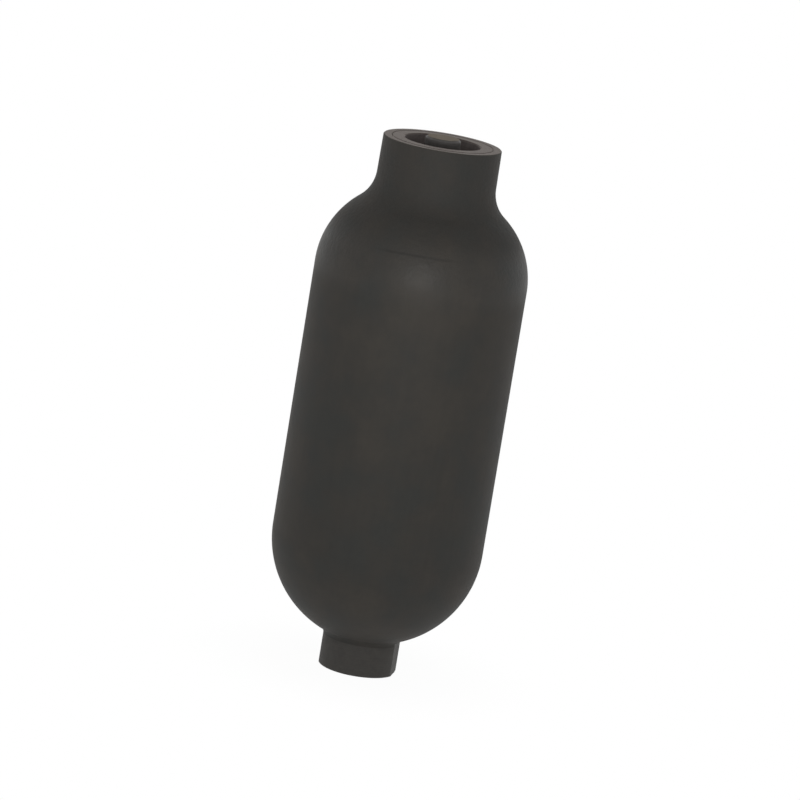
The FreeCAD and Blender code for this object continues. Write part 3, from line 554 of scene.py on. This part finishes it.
def shellShape(radius, height, theta):
    # Two wrench flats milled on the port neck and into its fillet, up to a narrow ledge, and the thread
    s = shellForm
    flat = s["flat"] / np.maximum(np.abs(np.cos(theta)), 1e-6)
    cut = smooth(np.clip(0.5 + (s["flatTop"] - height) / s["ledgeHeight"], 0, 1))
    outer = (radius > s["seam"] - 1) & (height < s["flatTop"] + s["ledgeHeight"]) & (flat < radius)
    radius = np.where(outer, radius + (flat - radius) * cut, radius)
    bored = (radius < s["threadRadius"] + 0.5) & (height < s["thread"]["high"] - 0.1)
    return np.where(bored, threaded(radius, height, theta, **s["thread"]), radius)


def shellFinish(radius, height):
    # 0 is the forged skin, 1 the turned faces and bores, 2 the port neck's turned side and milled flats,
    # paler as a painted light on the shade under the dome
    s = shellForm
    face = (height > s["neckTop"] - 0.1) | (height < 0.05)
    gasBores = (radius < s["lockBore"] + 1) & (height > s["ledge"] - 1)
    portBores = (radius < s["seatRim"] + 0.2) & (height < 50)
    portSide = (radius < s["portNeck"] + 0.02) & (radius > 28) & (height < s["flatTop"] + 2)
    return np.where(face | gasBores | portBores, 1, np.where(portSide, 2, 0))


def shellAngles():
    # more columns where the flats meet the round port neck
    edge = math.degrees(math.acos(shellForm["flat"] / shellForm["portNeck"]))
    steps = np.concatenate([[-0.25, 0, 0.25], np.arange(0.8, 6.4, 0.6)])
    return roundAngles(156, [side + sign * (edge + step)
                             for side in (0, 180) for sign in (1, -1) for step in steps])


outside = shellOutside()
turnedPiece("shellForging", np.concatenate([outside, shellNeck(outside[-1]), shellInside()]),
            ["forged", "machinedDark", "milledPaintedLight"], "vessel", ["shell"],
            shellAngles(), shape=shellShape, finishOf=shellFinish)
print("shell made")


# Gas end: lock ring, closure, washer, nut and stem
lockRing = {
    "rounding": 0.22, "columns": 180,
    "corners": [(30, 409), (39.15, 409), (39.95, 409.8), (39.95, 428.2), (39.15, 429), (30.8, 429),
                (30, 428.2)],
}
closure = {
    "rounding": 0.35, "columns": 144,
    "corners": [(12.05, 381), (33.5, 381), (33.5, 387), (38.5, 387), (38.5, 394), (34.5, 394), (34.5, 401),
                (38.5, 401), (38.5, 409), (27, 409), (27, 403), (12.05, 403), (12.05, 393), (15.15, 393),
                (15.15, 389), (12.05, 389)],
}
washer = {
    "rounding": 0.3, "columns": 120,
    "corners": [(12.05, 403), (20.5, 403), (20.5, 405.5), (12.05, 405.5)],
}
stemNut = {"across": 36.0, "low": 405.5, "high": 413.5, "bore": 12.05, "chamfer": 0.8}


def ringPiece(name, form, materials, node, finishOf=None):
    # A ring on the vessel: its closed half section, with the corners rounded, turned about the axis
    turnedPiece(name, softRun(form["corners"], form["rounding"], True), materials, "vessel", [node],
                roundAngles(form["columns"]), finishOf=finishOf)


def lockRingFinish(radius, height):
    # 0 is the turned face, 1 the bore below its chamfer
    return np.where((radius < 30.5) & (height < 428.5), 1, 0)


# the lock ring's bore and the closure, deep in the recess, take the paler finish, a painted light on their
# shade
ringPiece("lockRing", lockRing, ["machinedDark", "borePaintedLight"], "lock_ring", lockRingFinish)
ringPiece("gasClosure", closure, ["borePaintedLight"], "closure_plug")
ringPiece("stemWasher", washer, ["zinc"], "stem_washer")


def nutPiece(name, nut, body, node, columns):
    # Hexagon nut, its half section taken through the corners: the bore's mouths are countersunk, and the
    # rows crowd at the ends, where the cones trim the corners
    across, low, high, bore, chamfer = (nut[key] for key in ("across", "low", "high", "bore", "chamfer"))
    corner = across / math.sqrt(3)
    rise = (corner - across / 2) * math.tan(math.radians(30)) + 0.2
    bottom = softRun([(bore, low + chamfer + 0.6), (bore, low + chamfer), (bore + chamfer, low),
                      (across / 2 - 0.3, low), (across / 2, low)], 0.1)
    top = softRun([(across / 2, high), (across / 2 - 0.3, high), (bore + chamfer, high),
                   (bore, high - chamfer), (bore, high - chamfer - 0.6)], 0.1)
    profile = np.concatenate([bottom, straightRun(corner, low, low + rise, 12)[1:],
                              straightRun(corner, high - rise, high, 12)[:-1], top])
    turnedPiece(name, profile, ["zinc"], body, [node], hexAngles(columns),
                shape=lambda radius, height, theta: hexed(radius, height, theta, across, low, high))


nutPiece("stemNut", stemNut, "vessel", "stem_nut", 24)

stem = {
    "outside": [(3, 371.5), (24, 371.5), (24, 374.5), (12, 374.5), (12, 413.5), (11, 413.5), (11, 414.5),
                (9.4, 414.5), (9.4, 416.5), (11, 416.5), (11, 416.9)],
    "threadRadius": 11.0, "threadRows": (417, 419.3),
    "inside": [(11, 419.4), (11, 419.6), (10.6, 420), (8.2, 420), (8.2, 418), (7, 418), (7, 407), (3, 407),
               (3, 372)],
    "thread": {"low": 416.7, "high": 420.6, "pitch": 1.5, "depth": -0.75, "runOut": 0.5},
}


def stemShape(radius, height, theta):
    # The cap's thread is cut into the stem, so its depth is negative
    outer = (radius > stem["threadRadius"] - 0.6) & (height > stem["thread"]["low"] - 0.1)
    return np.where(outer, threaded(radius, height, theta, **stem["thread"]), radius)


# from the stem's moulded-in flange up to the cap's thread, and down the valve's socket and the gas passage
stemProfile = np.concatenate([
    softRun(stem["outside"], 0.2), straightRun(stem["threadRadius"], *stem["threadRows"], 22),
    softRun(stem["inside"], 0.12),
])
turnedPiece("bladderStem", stemProfile, ["bright"], "vessel", ["bladder_stem"],
            roundAngles(96), shape=stemShape)
print("gas end made")


# Gas valve and its caps
valve = {
    "foot": [(1, 407.9), (1, 407.5), (6.3, 407.5), (6.95, 408.2), (6.95, 408.3)],
    "shank": 6.95, "shankRows": (408.5, 417.2),
    "collar": [(6.95, 417.4), (6.95, 418), (5.75, 418), (5.75, 420), (8, 420)],
    "across": 16.0, "hexLow": 420.0, "hexHigh": 423.6,
    "neck": [(8, 423.6), (4.3, 423.6), (3.95, 424), (3.95, 424.1)],
    "nipple": 3.95, "nippleRows": (424.2, 427.6),
    "bore": [(3.95, 427.7), (3.95, 427.85), (3.6, 428.2), (2.7, 428.2), (2.5, 428), (2.5, 409), (1, 409),
             (1, 408.2)],
    "shankThread": {"low": 408.0, "high": 417.6, "pitch": 1.5, "depth": -0.7, "runOut": 0.6},
    "nippleThread": {"low": 424.0, "high": 428.2, "pitch": 0.8, "depth": -0.38, "runOut": 0.4},
}


def valveProfile():
    # Shank with its thread, hexagon, nipple with a finer thread, then down the core's bore
    v = valve
    corner = v["across"] / math.sqrt(3)
    return np.concatenate([
        softRun(v["foot"], 0.1), straightRun(v["shank"], *v["shankRows"], 62), softRun(v["collar"], 0.1)[:-1],
        straightRun(corner, v["hexLow"], v["hexLow"] + 1, 9),
        straightRun(corner, v["hexHigh"] - 1, v["hexHigh"], 9),
        softRun(v["neck"], 0.1), straightRun(v["nipple"], *v["nippleRows"], 44), softRun(v["bore"], 0.08),
    ])


def valveShape(radius, height, theta):
    # The hexagon, and both threads cut into their shafts
    v = valve
    radius = hexed(radius, height, theta, v["across"], v["hexLow"], v["hexHigh"])
    shank = (radius > v["shank"] - 0.05) & (height < v["shankThread"]["high"] - 0.1)
    nipple = (np.abs(radius - v["nipple"]) < 0.05) & (height > v["nippleThread"]["low"])
    radius = np.where(shank, threaded(radius, height, theta, **v["shankThread"]), radius)
    return np.where(nipple, threaded(radius, height, theta, **v["nippleThread"]), radius)


turnedPiece("gasValveBody", valveProfile(), ["zinc"], "vessel", ["gas_valve_body"],
            hexAngles(16), shape=valveShape)

sealCap = {
    "inner": 4.0, "outer": 5.6, "low": 424.0, "insideTop": 428.9, "top": 430.0,
    "bottomChamfer": 0.3, "topChamfer": 0.4, "rows": 14,
    "knurlLow": 424.6, "knurlHigh": 429.4, "teeth": 40, "knurlDepth": 0.22,
}
protectiveCap = {
    "inner": 11.3, "outer": 14.0, "low": 413.8, "insideTop": 430.4, "top": 432.5,
    "bottomChamfer": 0.6, "topChamfer": 1.5, "rows": 26,
    "knurlLow": 415.6, "knurlHigh": 425.4, "teeth": 60, "knurlDepth": 0.3,
}


def cupProfile(cup):
    # Cap: from the axis under its roof, down the inside, round the rim, up the outside and back to the axis
    inner, outer, low, top = (cup[key] for key in ("inner", "outer", "low", "top"))
    sideLow, sideHigh = low + cup["bottomChamfer"] + 0.6, top - cup["topChamfer"] - 0.6
    wall = softRun([
        (0, cup["insideTop"]), (inner, cup["insideTop"]), (inner, low + 0.5), (inner + 0.5, low),
        (outer - cup["bottomChamfer"], low), (outer, low + cup["bottomChamfer"]), (outer, sideLow - 0.1),
    ], 0.25)
    crown = softRun([(outer, sideHigh + 0.1), (outer, top - cup["topChamfer"]),
                     (outer - cup["topChamfer"], top), (0, top)], 0.25)
    return np.concatenate([wall, straightRun(outer, sideLow, sideHigh, cup["rows"]), crown])


def knurled(cup):
    # Straight knurl: rounded grooves cut along the axis, fading out over 0.6 mm at both ends of the band
    def shape(radius, height, theta):
        groove = 0.5 + 0.5 * np.cos(cup["teeth"] * theta)
        fade = np.clip(np.minimum(height - cup["knurlLow"], cup["knurlHigh"] - height) / 0.6, 0, 1)
        onSide = radius > cup["outer"] - 0.01
        return np.where(onSide, radius - cup["knurlDepth"] * groove ** 2 * fade, radius)
    return shape


def capFinish(radius, height):
    # 0 is the protective cap's side, 1 its worn top
    return np.where(height > protectiveCap["top"] - 0.1, 1, 0)


turnedPiece("valveSealCap", cupProfile(sealCap), ["brass"], "vessel", ["valve_seal_cap"],
            roundAngles(240), shape=knurled(sealCap))
turnedPiece("protectiveCap", cupProfile(protectiveCap), ["capSidePaintedLight", "capTop"], "cap",
            ["protective_cap"], roundAngles(360), shape=knurled(protectiveCap), finishOf=capFinish)
print("gas valve and caps made")


# Port end: poppet, its nut and both springs
def topOf(node):
    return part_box(node)[1][2] * 1000


poppet = {
    "top": topOf("poppet"), "head": 21.5, "crown": 3.6, "rim": 1.5, "seatWidth": 4.924, "bossDepth": 2.0,
    "boss": 7.0, "stem": 4.0, "tip": 21.0, "tipChamfer": 0.65,
    "thread": {"low": 21.8, "high": 29.5, "pitch": 1.25, "depth": -0.55, "runOut": 0.5},
}
stopNut = {"across": 13.0, "low": 22.3, "high": 26.3, "bore": 4.0, "chamfer": 0.45}


def poppetProfile():
    # Stem tip, stem, boss, 45 degree seat face, rim and crown
    p = poppet
    crown = (p["head"] ** 2 + p["crown"] ** 2) / (2 * p["crown"])
    tilt = math.degrees(math.asin(p["head"] / crown))
    rimHeight = p["top"] - p["crown"]
    face = rimHeight - p["rim"] - p["seatWidth"]
    low, high = p["thread"]["low"], p["thread"]["high"]
    tip = softRun([(0, p["tip"]), (p["stem"] - p["tipChamfer"], p["tip"]),
                   (p["stem"], p["tip"] + p["tipChamfer"]), (p["stem"], low)], 0.1)
    head = softRun([
        (p["stem"], high + 0.2), (p["stem"], face - p["bossDepth"]), (p["boss"], face - p["bossDepth"]),
        (p["boss"], face), (p["head"] - p["seatWidth"], face), (p["head"], rimHeight - p["rim"]),
        (p["head"], rimHeight), (p["head"] - 0.6, rimHeight + 0.6 * math.tan(math.radians(tilt)))], 0.3)
    dome = arcRun((0, p["top"] - crown), crown, 90 - tilt + 2.2, 90, 18)
    dome[-1, 0] = 0
    return np.concatenate([tip, straightRun(p["stem"], low + 0.1, high, 62), head, dome])


def poppetShape(radius, height, theta):
    # The stop nut's thread is cut into the stem's end
    end = (np.abs(radius - poppet["stem"]) < 0.01) & (height < poppet["thread"]["high"] + 0.01)
    return np.where(end, threaded(radius, height, theta, **poppet["thread"]), radius)


turnedPiece("poppetValve", poppetProfile(), ["bright"], "poppet_valve", ["poppet"],
            roundAngles(120), shape=poppetShape)
nutPiece("stopNut", stopNut, "poppet_valve", "stop_nut", 16)


def springPiece(name, form):
    # Round wire along a helix: its climb a turn is the wire's own height in the closed turns at both ends and
    # wider between them. Cutting the height off at low and high grinds the ends flat.
    wire, low, high, turns = form["wire"], form["low"], form["high"], form["turns"]
    steps, around = int(turns * 44) + 1, 18
    turn = np.linspace(0, turns, steps)
    rise = np.clip((np.minimum(turn, turns - turn) - 0.75) / 0.75, 0, 1)
    pace = 0.3 + 0.7 * smooth(rise)
    climb = np.concatenate([[0], np.cumsum((pace[1:] + pace[:-1]) / 2)])
    centre = low + wire * 0.25 + climb / climb[-1] * (high - low - wire * 0.5)
    a = 2 * np.pi * turn[:, None]
    b = 2 * np.pi * np.arange(around)[None, :] / around
    radius = form["radius"] + wire / 2 * np.cos(b) + 0 * a
    height = np.clip(centre[:, None] + wire / 2 * np.sin(b), low, high)
    points = np.stack([radius * np.cos(a), radius * np.sin(a), height], axis=-1).reshape(-1, 3)
    ends = [points[:around].mean(axis=0), points[-around:].mean(axis=0)]
    j = np.arange(around)
    nextJ, last, count = (j + 1) % around, (steps - 1) * around, len(points)
    caps = np.concatenate([
        np.column_stack([np.full(around, count), j, nextJ]),
        np.column_stack([last + nextJ, last + j, np.full(around, count + 1)]),
    ])
    quads = gridQuads(steps, around, False)[:, ::-1]
    return meshPiece(name, np.append(points, ends, axis=0), [quads, caps], ["wire"], "vessel",
                     [form["node"]])


springs = {
    "poppetSpring": {"wire": 1.5, "radius": 8.35, "low": 32.0, "high": topOf("poppet_spring"), "turns": 5.0,
                     "stroke": 8.0, "joint": "poppet_slide", "node": "poppet_spring"},
    "coreSpring": {"wire": 0.35, "radius": 1.725, "low": 409.0, "high": topOf("core_spring"), "turns": 5.0,
                   "stroke": 1.2, "joint": "core_pin_slide", "node": "core_spring"},
}
for name, form in springs.items():
    piece = springPiece(name, form)
    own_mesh(piece)
print("port end made")


# Carried-over CAD nodes
carried = {
    "bladder": "rubber", "closure_seal": "rubber", "closure_backup_ring": "ptfe", "stem_seal": "rubber",
    "valve_seal": "rubber", "valve_core": "brass", "core_pin": "brass", "core_pin_seal": "rubber",
    "seal_cap_gasket": "rubber", "protective_cap_seal": "rubber",
    "poppet_guide": "bright", "guide_bush": "bronze", "guide_snap_ring": "circlip",
}
for name, key in carried.items():
    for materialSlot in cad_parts[name].material_slots:
        materialSlot.material = finishes[key]
print("carried nodes finished:", len(carried))


# Camera, fitted to the object's outline in the photograph
view = {
    "azimuth": 10.0, "elevation": 12.052, "roll": 9.306, "distance": 4.0345, "middle": (0, 0, 0.2146),
    "shiftRight": -0.000487, "shiftUp": -0.00548, "lens": 230.14, "sensor": 36.0,
}


def makeCamera():
    # It looks from azimuth and elevation at the middle, turned about its own axis by roll
    a, e, roll = (math.radians(view[key]) for key in ("azimuth", "elevation", "roll"))
    right = Vector((math.cos(a), math.sin(a), 0))
    ahead = Vector((-math.sin(a) * math.cos(e), math.cos(a) * math.cos(e), -math.sin(e)))
    up = right.cross(ahead)
    turnedRight = math.cos(roll) * right + math.sin(roll) * up
    turnedUp = -math.sin(roll) * right + math.cos(roll) * up
    data = bpy.data.cameras.new("photoCamera")
    data.lens, data.sensor_width = view["lens"], view["sensor"]
    data.clip_start, data.clip_end = 0.1, 200
    camera = bpy.data.objects.new("photoCamera", data)
    bpy.context.scene.collection.objects.link(camera)
    place = Vector(view["middle"]) - view["distance"] * ahead
    place -= view["shiftRight"] * turnedRight + view["shiftUp"] * turnedUp
    turn = Matrix((turnedRight, turnedUp, -ahead)).transposed().to_4x4()
    camera.matrix_world = Matrix.Translation(place) @ turn
    bpy.context.scene.camera = camera


# Floor, room and lamps, in metres. The background is white for the camera and in reflections, and plain as a
# light.
studio = {
    "floor": "#f2f2f0", "floorRings": (0.3, 0.8, 2, 8, 40), "floorHeight": -0.0002, "floorGlow": 0.33,
    "shadowFade": (0.03, 0.16), "shadowLeft": 0.06, "horizon": 0.82, "zenith": 0.05,
    "aim": (0, 0, 0.335), "distance": 0.55, "size": 0.075,
}
lamps = {
    "keyLamp": {"power": 0.84, "azimuth": 10.0, "elevation": 7.2},
    "fillLamp": {"power": 0.6, "azimuth": 190.0, "elevation": 4.4},
}


def showsBackground(tree):
    # 1 for a ray from the camera, a reflection or a refraction, and 0 for the rays that light a matt surface
    path = add(tree, "LightPath")
    mirror = add(tree, "Math", {0: path.outputs["Is Camera Ray"], 1: path.outputs["Is Glossy Ray"]},
                 operation="MAXIMUM")
    return add(tree, "Math", {0: mirror.outputs[0], 1: path.outputs["Is Transmission Ray"]},
               operation="MAXIMUM").outputs[0]


def floorFinish():
    # A pale table that glows a little, so that it fills the object's underside. For the camera it keeps a
    # soft shadow near the foot and fades to plain white, and from below it is clear.
    material, tree, place = newMaterial("paleFloor")
    away = acrossAndUp(tree, place)[0]
    fade = add(tree, "MapRange", {0: away, 1: studio["shadowFade"][0], 2: studio["shadowFade"][1],
                                  3: 1 - studio["shadowLeft"], 4: 1.0}, interpolation_type="SMOOTHSTEP")
    share = add(tree, "Math", {0: fade.outputs[0], 1: showsBackground(tree)}, operation="MULTIPLY")
    paint = add(tree, "BsdfDiffuse", {"Color": linear(studio["floor"])})
    glow = add(tree, "Emission", {"Color": (1, 1, 1, 1), "Strength": studio["floorGlow"]})
    lit = add(tree, "AddShader", {0: paint.outputs[0], 1: glow.outputs[0]})
    white = add(tree, "Emission", {"Color": (1, 1, 1, 1), "Strength": 1.0})
    mixed = add(tree, "MixShader", {0: share.outputs[0], 1: lit.outputs[0], 2: white.outputs[0]})
    clear = add(tree, "BsdfTransparent")
    under = add(tree, "NewGeometry").outputs["Backfacing"]
    finishSurface(tree, add(tree, "MixShader", {0: under, 1: mixed.outputs[0], 2: clear.outputs[0]}))
    return material


def makeFloor():
    # A disc: rings of points at the floor's radii, joined by quads, and triangles round its centre
    columns, rows = 96, len(studio["floorRings"])
    angles = np.radians(np.arange(columns) * 360 / columns)
    ring = np.stack([np.outer(studio["floorRings"], np.cos(angles)),
                     np.outer(studio["floorRings"], np.sin(angles)),
                     np.full((rows, columns), studio["floorHeight"])], axis=-1).reshape(-1, 3)
    points = np.concatenate([ring, [[0, 0, studio["floorHeight"]]]])
    quads = gridQuads(rows, columns, False)[:, ::-1]
    j = np.arange(columns)
    centre = np.column_stack([j, (j + 1) % columns, np.full(columns, len(ring))])
    mesh = bpy.data.meshes.new("studioFloor")
    mesh.from_pydata(points.tolist(), [], quads.tolist() + centre.tolist())
    mesh.update()
    mesh.materials.append(floorFinish())
    floor = bpy.data.objects.new("studioFloor", mesh)
    bpy.context.scene.collection.objects.link(floor)


def makeRoom():
    # White where the background shows, and as a light a plain room, brighter at the horizon than overhead
    world = bpy.data.worlds.new("studioRoom")
    bpy.context.scene.world = world
    world.use_nodes = True
    tree = world.node_tree
    tree.nodes.clear()
    direction = add(tree, "TexCoord").outputs["Generated"]
    rise = add(tree, "SeparateXYZ", {0: direction}).outputs["Z"]
    level = add(tree, "MapRange", {0: rise, 1: 0.0, 2: 0.9, 3: studio["horizon"], 4: studio["zenith"]})
    room = add(tree, "Background", {"Color": (1, 1, 1, 1), "Strength": level.outputs[0]})
    white = add(tree, "Background", {"Color": (1, 1, 1, 1), "Strength": 1.0})
    mixed = add(tree, "MixShader", {0: showsBackground(tree), 1: room.outputs[0], 2: white.outputs[0]})
    add(tree, "OutputWorld", {"Surface": mixed.outputs[0]})


def makeLamp(name, power, azimuth, elevation):
    # A small round lamp near the shoulder. It stands lower than the neck's face, so the face has no glare.
    data = bpy.data.lights.new(name, "AREA")
    data.shape, data.size, data.energy = "DISK", studio["size"], power
    lamp = bpy.data.objects.new(name, data)
    bpy.context.scene.collection.objects.link(lamp)
    a, e = math.radians(azimuth), math.radians(elevation)
    back = Vector((math.sin(a) * math.cos(e), -math.cos(a) * math.cos(e), math.sin(e)))
    lamp.location = Vector(studio["aim"]) + back * studio["distance"]
    lamp.rotation_euler = back.to_track_quat("Z", "Y").to_euler()
    lamp.visible_camera = False


makeCamera()
makeFloor()
makeRoom()
for name, form in lamps.items():
    makeLamp(name, **form)
bpy.context.scene.view_settings.view_transform = "Standard"
print("camera, floor and lamps made")
